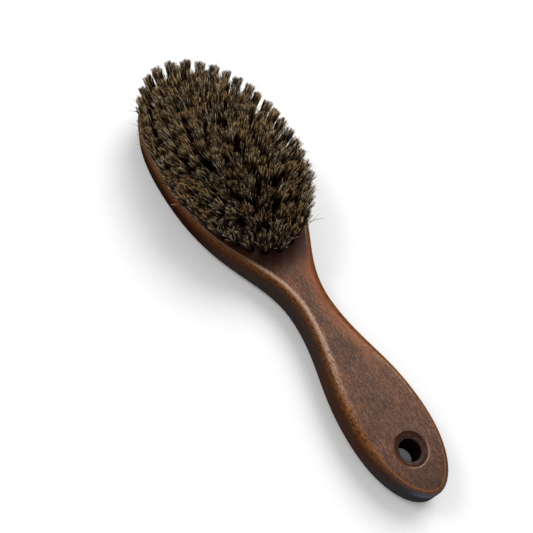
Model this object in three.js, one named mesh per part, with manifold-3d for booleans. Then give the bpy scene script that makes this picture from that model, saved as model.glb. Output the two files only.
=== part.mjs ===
// A clothes brush. Its back is one piece of beech: an oval head, a narrow neck and a rounded handle
// with a hanging hole. The head is filled with tufts of natural bristle, each set in its own blind
// hole. The holes are drilled fanwise, so the tufts spread outwards, and the tips are trimmed to a
// low dome.
//
// Millimetres. The brush lies on its back with the bristles up: +X runs from the handle to the head
// and +Z from the back to the bristles. The origin is under the middle of the brush, on its back.

import * as THREE from 'three';
import { mergeVertices } from 'three/addons/utils/BufferGeometryUtils.js';
import Module from 'manifold-3d';

const wasm = await Module();
wasm.setup();

// ---- The back's outline: four stretches, from the handle's tip to the head's ----
const HANDLE_END_LENGTH = 31.4; // handle tip to the handle's widest place
const HANDLE_TAPER_LENGTH = 53.9; // from there to the narrowest place of the neck
const NECK_FLARE_LENGTH = 90.8; // from there to the head's widest place
const HEAD_END_LENGTH = 48.9; // from there to the head's tip
const HANDLE_WIDTH = 30.4;
const NECK_WIDTH = 16.3;
const HEAD_WIDTH = 59.2;

// How far each stretch keeps its starting and its closing direction, as a share of its own length
// or, where it starts at a tip, of its own half width.
const HANDLE_END_FULLNESS = { leave: 0.4, arrive: 0.706 };
const HANDLE_TAPER_FULLNESS = { leave: 0.432, arrive: 0.403 };
const NECK_FLARE_FULLNESS = { leave: 0.302, arrive: 0.615 };
const HEAD_END_FULLNESS = { leave: 0.796, arrive: 0.57 };

// ---- The back's thickness and rounded edges ----
const BACK_THICKNESS = 15.3;
const LOWER_EDGE_RADIUS = 4.2;
const HANDLE_EDGE_RADIUS = 2.4; // upper edge round the handle
const NECK_EDGE_RADIUS = 4; // the upper edge is rounder at the neck, where the fingers lie
const HEAD_EDGE_RADIUS = 1.3; // upper edge round the head
const EDGE_BLEND_LENGTH = 42; // run over which one upper edge radius fades into the next

// ---- The hanging hole ----
const HANGING_HOLE_RADIUS = 4.2;
const HANGING_HOLE_FROM_TIP = 17.5;
const DISH_RIM_RADIUS = 6.7; // the dished recess round each mouth of the hole
const DISH_DEPTH = 1.4;

// ---- The bristle field ----
const HEAD_RIM = 2.8; // bare wood between the outer tufts and the head's tip
const SIDE_RIM = 3.2; // bare wood between the outer tufts and the head's sides
const BARE_SHOULDER_LENGTH = 27.6; // bare wood from the narrowest neck to the first tufts
const BORDER_TUFTS = 40;
const INNER_ROWS = 17;
const INNER_ROW_INSET = 5.3; // from the border tufts to the end tufts of the inner rows
const INNER_TUFT_PITCH = 5.2;

// ---- One tuft in its hole ----
const TUFT_RADIUS = 1.5; // where it leaves the wood
const TUFT_TIP_RADIUS = 2.4; // where its bristles have spread at the tips
const TUFT_CLEARANCE = 0.3; // all round the tuft and under its foot
const WOOD_UNDER_HOLES = 7.3;
const MIDDLE_BRISTLE_LENGTH = 18.5; // above the wood, at the middle of the dome
const BORDER_BRISTLE_LENGTH = 13.9; // above the wood, at the rim of the dome
const FAN_RADIUS_ALONG = 215; // depth at which the tufts' axes would meet, seen from the side
const FAN_RADIUS_ACROSS = 52; // the same, seen from the end
const TIP_MEETING = 0.2; // how far the tips of row neighbours spread past the line between them

// ---- Fineness of the curved surfaces ----
const OUTLINE_STEPS = [11, 7, 10, 12]; // one count for each stretch of the outline
const LOWER_EDGE_STEPS = 3;
const UPPER_EDGE_STEPS = 3;
const HANGING_HOLE_SIDES = 24;
const DISH_STEPS = 3;
const BORDER_TUFT_SIDES = 8;
const INNER_TUFT_SIDES = 6; // the inner tufts show only their tips
const CUT_OVERRUN = 1; // how far a cutter stands out of the wood

// ---- Places that follow from the sizes above ----
const HANDLE_WIDEST_X = HANDLE_END_LENGTH;
const NECK_X = HANDLE_WIDEST_X + HANDLE_TAPER_LENGTH;
const HEAD_WIDEST_X = NECK_X + NECK_FLARE_LENGTH;
const BACK_LENGTH = HEAD_WIDEST_X + HEAD_END_LENGTH;
const FIELD_START_X = NECK_X + BARE_SHOULDER_LENGTH;
const FIELD_END_X = BACK_LENGTH - HEAD_RIM;
const FIELD_CENTRE_X = (FIELD_START_X + FIELD_END_X) / 2;
const FIELD_HALF_LENGTH = (FIELD_END_X - FIELD_START_X) / 2;
const FIELD_HALF_WIDTH = HEAD_WIDTH / 2 - SIDE_RIM;
const TUFT_HOLE_RADIUS = TUFT_RADIUS + TUFT_CLEARANCE;
const TUFT_HOLE_DEPTH = BACK_THICKNESS - WOOD_UNDER_HOLES;

const beech = new THREE.MeshStandardMaterial({ color: 0x5a3a2c, roughness: 0.45, metalness: 0 });
const bristle = new THREE.MeshStandardMaterial({ color: 0x6a5638, roughness: 0.6, metalness: 0 });
beech.flatShading = true;
bristle.flatShading = true;

// ---- Solids ----

/** Turns a closed three.js geometry into a solid that can be joined and cut. */
function toSolid(geometry) {
  const bare = geometry.clone();
  bare.deleteAttribute('normal');
  bare.deleteAttribute('uv');
  const merged = mergeVertices(bare, 1e-4);
  const vertProperties = new Float32Array(merged.attributes.position.array);
  const triVerts = new Uint32Array(merged.index.array);
  return new wasm.Manifold(new wasm.Mesh({ numProp: 3, vertProperties, triVerts }));
}

/** Turns a solid back into a named mesh. */
function toMesh(name, solid, material) {
  const { vertProperties, triVerts } = solid.getMesh();
  const geometry = new THREE.BufferGeometry();
  geometry.setAttribute('position', new THREE.BufferAttribute(new Float32Array(vertProperties), 3));
  geometry.setIndex(new THREE.BufferAttribute(new Uint32Array(triVerts), 1));
  geometry.computeVertexNormals();
  const mesh = new THREE.Mesh(geometry, material);
  mesh.name = name;
  return mesh;
}

/** A closed skin over rings of equal count, listed bottom to top and anticlockwise from above. */
function loft(rings) {
  const count = rings[0].length;
  const positions = rings.flat().flatMap((point) => [point.x, point.y, point.z]);
  const indices = [];
  for (let ring = 0; ring + 1 < rings.length; ring += 1) {
    for (let i = 0; i < count; i += 1) {
      const a = ring * count + i;
      const b = ring * count + ((i + 1) % count);
      indices.push(a, b, b + count, a, b + count, a + count);
    }
  }
  const last = (rings.length - 1) * count;
  for (const [a, b, c] of THREE.ShapeUtils.triangulateShape(rings[0], [])) {
    indices.push(c, b, a);
  }
  for (const [a, b, c] of THREE.ShapeUtils.triangulateShape(rings[rings.length - 1], [])) {
    indices.push(last + a, last + b, last + c);
  }
  const geometry = new THREE.BufferGeometry();
  geometry.setAttribute('position', new THREE.Float32BufferAttribute(positions, 3));
  geometry.setIndex(indices);
  return geometry;
}

// ---- The wooden back ----

/** The half outline from the handle's tip to the head's, as points with their inward directions. */
function halfOutline() {
  const handle = HANDLE_WIDTH / 2;
  const neck = NECK_WIDTH / 2;
  const head = HEAD_WIDTH / 2;
  const handleEnd = new THREE.CubicBezierCurve(
    new THREE.Vector2(0, 0),
    new THREE.Vector2(0, handle * HANDLE_END_FULLNESS.leave),
    new THREE.Vector2(HANDLE_WIDEST_X - HANDLE_END_LENGTH * HANDLE_END_FULLNESS.arrive, handle),
    new THREE.Vector2(HANDLE_WIDEST_X, handle),
  );
  const handleTaper = new THREE.CubicBezierCurve(
    new THREE.Vector2(HANDLE_WIDEST_X, handle),
    new THREE.Vector2(HANDLE_WIDEST_X + HANDLE_TAPER_LENGTH * HANDLE_TAPER_FULLNESS.leave, handle),
    new THREE.Vector2(NECK_X - HANDLE_TAPER_LENGTH * HANDLE_TAPER_FULLNESS.arrive, neck),
    new THREE.Vector2(NECK_X, neck),
  );
  const neckFlare = new THREE.CubicBezierCurve(
    new THREE.Vector2(NECK_X, neck),
    new THREE.Vector2(NECK_X + NECK_FLARE_LENGTH * NECK_FLARE_FULLNESS.leave, neck),
    new THREE.Vector2(HEAD_WIDEST_X - NECK_FLARE_LENGTH * NECK_FLARE_FULLNESS.arrive, head),
    new THREE.Vector2(HEAD_WIDEST_X, head),
  );
  const headEnd = new THREE.CubicBezierCurve(
    new THREE.Vector2(HEAD_WIDEST_X, head),
    new THREE.Vector2(HEAD_WIDEST_X + HEAD_END_LENGTH * HEAD_END_FULLNESS.leave, head),
    new THREE.Vector2(BACK_LENGTH, head * HEAD_END_FULLNESS.arrive),
    new THREE.Vector2(BACK_LENGTH, 0),
  );
  const stations = [];
  [handleEnd, handleTaper, neckFlare, headEnd].forEach((curve, stretch) => {
    const steps = OUTLINE_STEPS[stretch];
    const first = stretch === 0 ? 0 : 1;
    for (let i = first; i <= steps; i += 1) {
      const point = curve.getPoint(i / steps);
      const tangent = curve.getTangent(i / steps);
      stations.push({ point, inward: new THREE.Vector2(tangent.y, -tangent.x) });
    }
  });
  return stations;
}

/** The whole outline, anticlockwise from the head's tip. */
function wholeOutline() {
  const half = halfOutline();
  const farSide = [...half].reverse();
  const nearSide = half.slice(1, -1).map(({ point, inward }) => ({
    point: new THREE.Vector2(point.x, -point.y),
    inward: new THREE.Vector2(inward.x, -inward.y),
  }));
  return [...farSide, ...nearSide];
}

/** The upper edge's radius at a distance from the handle's tip. */
function upperEdgeRadius(x) {
  const half = EDGE_BLEND_LENGTH / 2;
  const handleToNeck = (HANDLE_WIDEST_X + NECK_X) / 2;
  const neckToHead = FIELD_START_X;
  const neckShare = THREE.MathUtils.smoothstep(x, handleToNeck - half, handleToNeck + half);
  const headShare = THREE.MathUtils.smoothstep(x, neckToHead - half, neckToHead + half);
  const beforeHead = THREE.MathUtils.lerp(HANDLE_EDGE_RADIUS, NECK_EDGE_RADIUS, neckShare);
  return THREE.MathUtils.lerp(beforeHead, HEAD_EDGE_RADIUS, headShare);
}

/** One ring of the back: the outline moved inwards and up by what `profile` says at each point. */
function backRing(outline, profile) {
  return outline.map(({ point, inward }) => {
    const { inset, z } = profile(point.x);
    return new THREE.Vector3(point.x + inward.x * inset, point.y + inward.y * inset, z);
  });
}

/** The slab with rounded edges, before anything is drilled. */
function backBlank() {
  const outline = wholeOutline();
  const rings = [];
  for (let i = 0; i <= LOWER_EDGE_STEPS; i += 1) {
    const turn = (Math.PI / 2) * (i / LOWER_EDGE_STEPS);
    const inset = LOWER_EDGE_RADIUS * (1 - Math.sin(turn));
    const z = LOWER_EDGE_RADIUS * (1 - Math.cos(turn));
    rings.push(backRing(outline, () => ({ inset, z })));
  }
  for (let i = 0; i <= UPPER_EDGE_STEPS; i += 1) {
    const turn = (Math.PI / 2) * (i / UPPER_EDGE_STEPS);
    rings.push(backRing(outline, (x) => ({
      inset: upperEdgeRadius(x) * (1 - Math.cos(turn)),
      z: BACK_THICKNESS - upperEdgeRadius(x) * (1 - Math.sin(turn)),
    })));
  }
  return toSolid(loft(rings));
}

/** The cutter of the hanging hole: a bore that opens into a shallow dish at both faces. */
function hangingHoleCutter() {
  const dish = [];
  for (let i = 0; i <= DISH_STEPS; i += 1) {
    const turn = (Math.PI / 2) * (i / DISH_STEPS);
    const radius = HANGING_HOLE_RADIUS + (DISH_RIM_RADIUS - HANGING_HOLE_RADIUS) * Math.sin(turn);
    dish.push({ radius, depth: DISH_DEPTH * Math.cos(turn) });
  }
  const profile = [
    new THREE.Vector2(0, -CUT_OVERRUN),
    new THREE.Vector2(DISH_RIM_RADIUS, -CUT_OVERRUN),
    ...[...dish].reverse().map(({ radius, depth }) => new THREE.Vector2(radius, depth)),
    ...dish.map(({ radius, depth }) => new THREE.Vector2(radius, BACK_THICKNESS - depth)),
    new THREE.Vector2(DISH_RIM_RADIUS, BACK_THICKNESS + CUT_OVERRUN),
    new THREE.Vector2(0, BACK_THICKNESS + CUT_OVERRUN),
  ];
  const cutter = new THREE.LatheGeometry(profile, HANGING_HOLE_SIDES);
  cutter.rotateX(Math.PI / 2);
  cutter.translate(HANGING_HOLE_FROM_TIP, 0, 0);
  return toSolid(cutter);
}

// ---- The bristle field, in its own frame: the origin is the field's centre on the wood's face ----

/** Length of the bristles above the wood at a place in the field: the trimmed dome. */
function bristleLength(along, across) {
  const outwards = (along / FIELD_HALF_LENGTH) ** 2 + (across / FIELD_HALF_WIDTH) ** 2;
  return MIDDLE_BRISTLE_LENGTH - (MIDDLE_BRISTLE_LENGTH - BORDER_BRISTLE_LENGTH) * outwards;
}

/** Where the tufts of the border stand: evenly spaced round an ellipse. */
function borderPlaces() {
  const halfLength = FIELD_HALF_LENGTH - TUFT_RADIUS;
  const halfWidth = FIELD_HALF_WIDTH - TUFT_RADIUS;
  const ellipse = new THREE.EllipseCurve(0, 0, halfLength, halfWidth);
  ellipse.arcLengthDivisions = 20 * BORDER_TUFTS;
  const points = ellipse.getSpacedPoints(BORDER_TUFTS).slice(0, -1);
  return points.map((point) => ({ along: point.x, across: point.y, sides: BORDER_TUFT_SIDES }));
}

/** Where the tufts inside the border stand: rows across the head, each filled from side to side. */
function innerRows() {
  const halfLength = FIELD_HALF_LENGTH - TUFT_RADIUS - INNER_ROW_INSET;
  const halfWidth = FIELD_HALF_WIDTH - TUFT_RADIUS - INNER_ROW_INSET;
  const rows = [];
  for (let row = 0; row < INNER_ROWS; row += 1) {
    const along = THREE.MathUtils.lerp(-halfLength, halfLength, row / (INNER_ROWS - 1));
    const reach = halfWidth * Math.sqrt(Math.max(0, 1 - (along / halfLength) ** 2));
    const gaps = Math.round((2 * reach) / INNER_TUFT_PITCH);
    const places = [];
    for (let i = 0; i <= gaps; i += 1) {
      const across = gaps === 0 ? 0 : THREE.MathUtils.lerp(-reach, reach, i / gaps);
      places.push({ along, across, sides: INNER_TUFT_SIDES });
    }
    rows.push(places);
  }
  return rows;
}

/**
 * A closed plug round the fanned axis of one tuft, relative to the tuft's place on the face. Each
 * level has a height function of the place in the field and its two half widths.
 */
function fannedPlug(place, levels) {
  const bands = levels.length - 1;
  const halfTurn = Math.PI / place.sides;
  const corner = 1 / Math.cos(halfTurn); // so that the flats lie at the half widths
  const plug = new THREE.CylinderGeometry(corner, corner, 1, place.sides, bands);
  plug.rotateX(Math.PI / 2);
  plug.rotateZ(halfTurn); // turns a flat towards each row neighbour
  const position = plug.attributes.position;
  for (let i = 0; i < position.count; i += 1) {
    const level = levels[Math.round((position.getZ(i) + 0.5) * bands)];
    const along = position.getX(i) * level.halfAlong;
    const across = position.getY(i) * level.halfAcross;
    const height = level.height(place.along + along, place.across + across);
    const x = along + place.along * (height / FAN_RADIUS_ALONG);
    const y = across + place.across * (height / FAN_RADIUS_ACROSS);
    position.setXYZ(i, x, y, height);
  }
  return plug;
}

/** The blind hole of a tuft. */
function tuftHoleCutter(place) {
  const section = { halfAlong: TUFT_HOLE_RADIUS, halfAcross: TUFT_HOLE_RADIUS };
  return toSolid(fannedPlug(place, [
    { height: () => -TUFT_HOLE_DEPTH, ...section },
    { height: () => CUT_OVERRUN, ...section },
  ]));
}

/** A tuft: straight in its hole, then widening to its trimmed tip. */
function tuftSolid(place, tipHalfAcross) {
  const root = { halfAlong: TUFT_RADIUS, halfAcross: TUFT_RADIUS };
  return toSolid(fannedPlug(place, [
    { height: () => TUFT_CLEARANCE - TUFT_HOLE_DEPTH, ...root },
    { height: () => 0, ...root },
    { height: bristleLength, halfAlong: TUFT_TIP_RADIUS, halfAcross: tipHalfAcross },
  ]));
}

/** Half width that takes a tuft's bristles to its row neighbours at the lower of their tips. */
function meetingHalfWidth(places, index) {
  const lengths = places.map(({ along, across }) => bristleLength(along, across));
  const neighbours = lengths.slice(Math.max(0, index - 1), index + 2);
  const meetingHeight = Math.min(...neighbours);
  const pitch = Math.abs(places[1].across - places[0].across);
  const halfWidth = (pitch / 2) * (1 + meetingHeight / FAN_RADIUS_ACROSS) + TIP_MEETING;
  return TUFT_RADIUS + (halfWidth - TUFT_RADIUS) * (lengths[index] / meetingHeight);
}

/** A row of tufts whose spread tips run into each other; its origin is the row's middle. */
function tuftRowSolid(places) {
  let row = null;
  places.forEach((place, index) => {
    const tipHalfAcross = places.length > 1 ? meetingHalfWidth(places, index) : TUFT_TIP_RADIUS;
    const tuft = tuftSolid(place, tipHalfAcross).translate([0, place.across, 0]);
    row = row ? row.add(tuft) : tuft;
  });
  return row;
}

// ---- Assembly ----

const border = borderPlaces();
const rows = innerRows();

/** The drilled back, as one solid. */
function brushBack() {
  const cutters = [...border, ...rows.flat()].map((place) => (
    tuftHoleCutter(place).translate([FIELD_CENTRE_X + place.along, place.across, BACK_THICKNESS])
  ));
  return wasm.Manifold.difference([backBlank(), hangingHoleCutter(), ...cutters]);
}

const brush = new THREE.Group();
brush.add(toMesh('brush_body', brushBack(), beech));

const field = new THREE.Group();
field.position.set(FIELD_CENTRE_X, 0, BACK_THICKNESS);
brush.add(field);

const twoDigits = (index) => String(index + 1).padStart(2, '0');

border.forEach((place, index) => {
  const tuft = toMesh(`border_tuft_${twoDigits(index)}`, tuftSolid(place, TUFT_TIP_RADIUS), bristle);
  tuft.position.set(place.along, place.across, 0);
  field.add(tuft);
});

rows.forEach((places, index) => {
  const row = toMesh(`inner_row_${twoDigits(index)}`, tuftRowSolid(places), bristle);
  row.position.set(places[0].along, 0, 0);
  field.add(row);
});

// The bristles reach a little past the head's tip, so the brush is centred on its whole box.
brush.updateMatrixWorld(true);
const box = new THREE.Box3().setFromObject(brush);
brush.position.x = -(box.min.x + box.max.x) / 2;

export default brush;
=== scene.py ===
"""The looks of a wooden clothes brush: a stained beech back and its fanned bristle tufts."""
import logging
import math
from dataclasses import dataclass, field
from enum import Enum
from typing import Callable, Sequence, Union

import bmesh
import bpy
import numpy as np
from mathutils import Matrix, Vector
from mathutils.bvhtree import BVHTree
from mathutils.kdtree import KDTree


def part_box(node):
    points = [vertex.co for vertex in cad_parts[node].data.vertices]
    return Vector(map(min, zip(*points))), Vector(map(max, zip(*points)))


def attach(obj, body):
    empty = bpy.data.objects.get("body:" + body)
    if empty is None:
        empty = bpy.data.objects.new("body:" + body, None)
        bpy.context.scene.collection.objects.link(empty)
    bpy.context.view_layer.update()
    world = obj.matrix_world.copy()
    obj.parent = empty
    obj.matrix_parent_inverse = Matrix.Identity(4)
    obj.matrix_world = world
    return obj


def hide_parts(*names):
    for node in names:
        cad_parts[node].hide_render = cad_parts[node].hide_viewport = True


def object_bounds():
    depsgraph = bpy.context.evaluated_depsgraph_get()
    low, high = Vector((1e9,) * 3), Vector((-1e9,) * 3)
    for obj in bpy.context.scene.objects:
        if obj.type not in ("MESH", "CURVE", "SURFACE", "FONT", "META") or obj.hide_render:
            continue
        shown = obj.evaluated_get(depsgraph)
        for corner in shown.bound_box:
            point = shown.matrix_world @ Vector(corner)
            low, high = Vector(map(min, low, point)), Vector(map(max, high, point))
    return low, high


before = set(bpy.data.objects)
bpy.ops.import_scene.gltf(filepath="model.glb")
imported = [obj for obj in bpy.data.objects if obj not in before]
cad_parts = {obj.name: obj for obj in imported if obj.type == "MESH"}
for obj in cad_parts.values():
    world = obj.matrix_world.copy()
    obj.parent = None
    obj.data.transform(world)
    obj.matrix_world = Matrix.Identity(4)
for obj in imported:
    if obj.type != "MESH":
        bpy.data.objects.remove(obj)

CAD_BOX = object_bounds()
MM = 0.001
BODY = "root"
STRAND_MAP = "OFBake"
OVER_EDGE = "over_edge"
WHITE = (1.0, 1.0, 1.0, 1.0)
SAME_PLACE = 1e-5  # metres within which two corners are the same
BEYOND_TIPS = 0.04  # metres from a tuft's mouth to a place clear of its tips

Array = np.ndarray
Piece = bpy.types.Object
Floats = tuple[float, ...]
Pair = tuple[float, float]
Triple = tuple[float, float, float]
Shade = Triple  # a colour as it shows on a screen, 0 to 255

log = logging.getLogger("clothes_brush")


class Slot(Enum):
    """The record's material slots."""

    BEECH = "stained_beech"
    BRISTLE = "natural_bristle"


class TuftKind(Enum):
    """The two sorts of bristle node, by how their names start and how many sides a tuft has."""

    BORDER = ("border_tuft_", 8)
    INNER = ("inner_row_", 6)


# ---- Node graphs ----


def tint(colour: Shade) -> tuple[float, float, float, float]:
    """A screen colour as the linear colour that a shader takes."""
    shown = [c / 255 for c in colour]
    return (*(c / 12.92 if c <= 0.04045 else ((c + 0.055) / 1.055) ** 2.4 for c in shown), 1.0)


def maths_method(operation: str, swapped: bool = False) -> Callable[["Wire", "Feed"], "Wire"]:
    """A method of Wire that adds a Math node.

    Args:
        operation: What the node does with its two values.
        swapped: Whether the method's other value comes first.

    Returns:
        The method.
    """

    def method(wire: "Wire", other: "Feed") -> "Wire":
        """The result of the node."""
        first, second = (other, wire) if swapped else (wire, other)
        return wire.graph.node("Math", {"operation": operation}, {0: first, 1: second})

    return method


@dataclass(frozen=True)
class Wire:
    """The output of a shader node, which takes part in sums as a number does.

    What above gives is 1 where the value is more than a limit, else 0.
    """

    graph: "Graph"
    socket: bpy.types.NodeSocket | None

    __add__ = maths_method("ADD")
    __radd__ = maths_method("ADD", swapped=True)
    __sub__ = maths_method("SUBTRACT")
    __rsub__ = maths_method("SUBTRACT", swapped=True)
    __mul__ = maths_method("MULTIPLY")
    __rmul__ = maths_method("MULTIPLY", swapped=True)
    __truediv__ = maths_method("DIVIDE")
    __pow__ = maths_method("POWER")
    above = maths_method("GREATER_THAN")

    def __abs__(self) -> "Wire":
        """The value without its sign."""
        return self.graph.node("Math", {"operation": "ABSOLUTE"}, {0: self})

    def ramp(self, low: "Feed", high: "Feed", start: float = 0.0, end: float = 1.0) -> "Wire":
        """A smooth step from start to end as the value goes from low to high."""
        feeds = {"Value": self, "From Min": low, "From Max": high, "To Min": start, "To Max": end}
        return self.graph.node("MapRange", {"interpolation_type": "SMOOTHSTEP"}, feeds, "Result")

    def peak(self, centre: float, width: float) -> "Wire":
        """A smooth bump that is 1 at centre and 0 from width away."""
        return abs(self - centre).ramp(0.0, width, 1.0, 0.0)


Feed = Union[Wire, float, Sequence[float]]


class Graph:
    """A material's or world's node tree, filled from code."""

    def __init__(self, tree: bpy.types.NodeTree) -> None:
        """Empties the tree that the nodes are added to."""
        self.tree = tree
        tree.nodes.clear()

    def node(
        self, kind: str, settings: dict[str, object], feeds: dict[str | int, Feed],
        output: str | int = 0,
    ) -> Wire:
        """Adds one node.

        Args:
            kind: The node's type, without its ShaderNode prefix.
            settings: Its properties by name.
            feeds: What goes into its inputs, by the input's name or number.
            output: The output that is handed back, by name or number.

        Returns:
            The output as a wire.
        """
        made = self.tree.nodes.new("ShaderNode" + kind)
        for name, value in settings.items():
            setattr(made, name, value)
        for name, value in feeds.items():
            self.feed(made.inputs[name], value)
        return Wire(self, made.outputs[output] if made.outputs else None)

    def feed(self, socket: bpy.types.NodeSocket, value: Feed) -> None:
        """Links a wire to a socket, or sets the socket to a plain value.

        Args:
            socket: The input that is fed.
            value: The wire, or a number, vector or colour.
        """
        if isinstance(value, Wire):
            self.tree.links.new(value.socket, socket)
        else:
            socket.default_value = value

    def other(self, wire: Wire, output: str) -> Wire:
        """Another output of the node that a wire comes from."""
        return Wire(self, wire.socket.node.outputs[output])

    def blend(self, first: Wire | Shade, second: Wire | Shade, share: Feed) -> Wire:
        """A mix of two colours.

        Args:
            first: The colour at a share of 0.
            second: The colour mixed in.
            share: How much of the second colour there is, 0 to 1.

        Returns:
            The mixed colour.
        """
        mixer = self.tree.nodes.new("ShaderNodeMix")
        mixer.data_type = "RGBA"
        self.feed(mixer.inputs[0], share)
        for number, colour in ((6, first), (7, second)):
            self.feed(mixer.inputs[number], colour if isinstance(colour, Wire) else tint(colour))
        return Wire(self, mixer.outputs[2])

    def scaled(self, place: Wire, by: Triple) -> Wire:
        """A place multiplied axis by axis."""
        return self.node("VectorMath", {"operation": "MULTIPLY"}, {0: place, 1: by})

    def noise(self, place: Wire, scale: float, detail: float, roughness: float) -> Wire:
        """Smooth noise from about 0 to 1 at a place."""
        feeds = {"Vector": place, "Scale": scale, "Detail": detail, "Roughness": roughness}
        return self.node("TexNoise", {}, feeds, "Fac")


def new_material(name: str) -> tuple[bpy.types.Material, Graph]:
    """Makes a node material.

    Args:
        name: The material's name.

    Returns:
        The material and its empty graph.
    """
    material = bpy.data.materials.new(name)
    material.use_nodes = True
    return material, Graph(material.node_tree)


# ---- Mesh work ----


def deselect_all() -> None:
    """Leaves no object selected."""
    bpy.ops.object.select_all(action="DESELECT")


def make_active(piece: Piece) -> None:
    """Selects one object alone and makes it active.

    Args:
        piece: The object.
    """
    deselect_all()
    piece.select_set(True)
    bpy.context.view_layer.objects.active = piece


def ring_solid(name: str, rings: Sequence[Array]) -> Piece:
    """A closed solid that is extruded from a circle, ring by ring.

    Args:
        name: The new object's name.
        rings: The places of each ring's corners, in metres; all rings have as many corners.

    Returns:
        The finished mesh object, with its place in its mesh.
    """
    deselect_all()
    corners = len(rings[0])
    bpy.ops.mesh.primitive_circle_add(vertices=corners, radius=1.0, fill_type="NOTHING")
    piece = bpy.context.object
    piece.name = name
    mesh = piece.data
    station = mesh.attributes.new("station", "INT", "POINT")
    station.data.foreach_set("value", np.arange(corners, dtype=np.int32))
    mesh.vertices.foreach_set("co", np.asarray(rings[0], np.float32).ravel())
    bpy.ops.object.mode_set(mode="EDIT")
    bpy.ops.mesh.select_mode(type="VERT")
    bpy.ops.mesh.select_all(action="SELECT")
    bpy.ops.mesh.edge_face_add()
    for ring in rings[1:]:
        bpy.ops.mesh.extrude_region()
        working = bmesh.from_edit_mesh(mesh)
        layer = working.verts.layers.int["station"]
        for corner in working.verts:
            if corner.select:
                corner.co = ring[corner[layer]]
        bmesh.update_edit_mesh(mesh)
    bpy.ops.mesh.select_all(action="SELECT")
    bpy.ops.mesh.normals_make_consistent(inside=False)
    bpy.ops.object.mode_set(mode="OBJECT")
    mesh.attributes.remove(mesh.attributes["station"])
    return piece


def circle_ring(radius: float, height: float, corners: int) -> Array:
    """The corners of a level ring round the Z axis."""
    turn = np.linspace(0, 2 * math.pi, corners, endpoint=False)
    return np.stack([radius * np.cos(turn), radius * np.sin(turn), np.full(corners, height)], 1)


def cut_away(piece: Piece, cutter: Piece) -> None:
    """Cuts a form out of a piece.

    Args:
        piece: The piece that is cut.
        cutter: The form, which is removed.
    """
    make_active(piece)
    cut = piece.modifiers.new("cut", "BOOLEAN")
    cut.operation = "DIFFERENCE"
    cut.solver = "EXACT"
    cut.object = cutter
    bpy.ops.object.modifier_apply(modifier="cut")
    bpy.data.objects.remove(cutter)


def corner_places(mesh: bpy.types.Mesh) -> Array:
    """The places of a mesh's corners, one row each."""
    return np.array([corner.co[:] for corner in mesh.vertices])


# ---- Finishes ----


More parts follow.
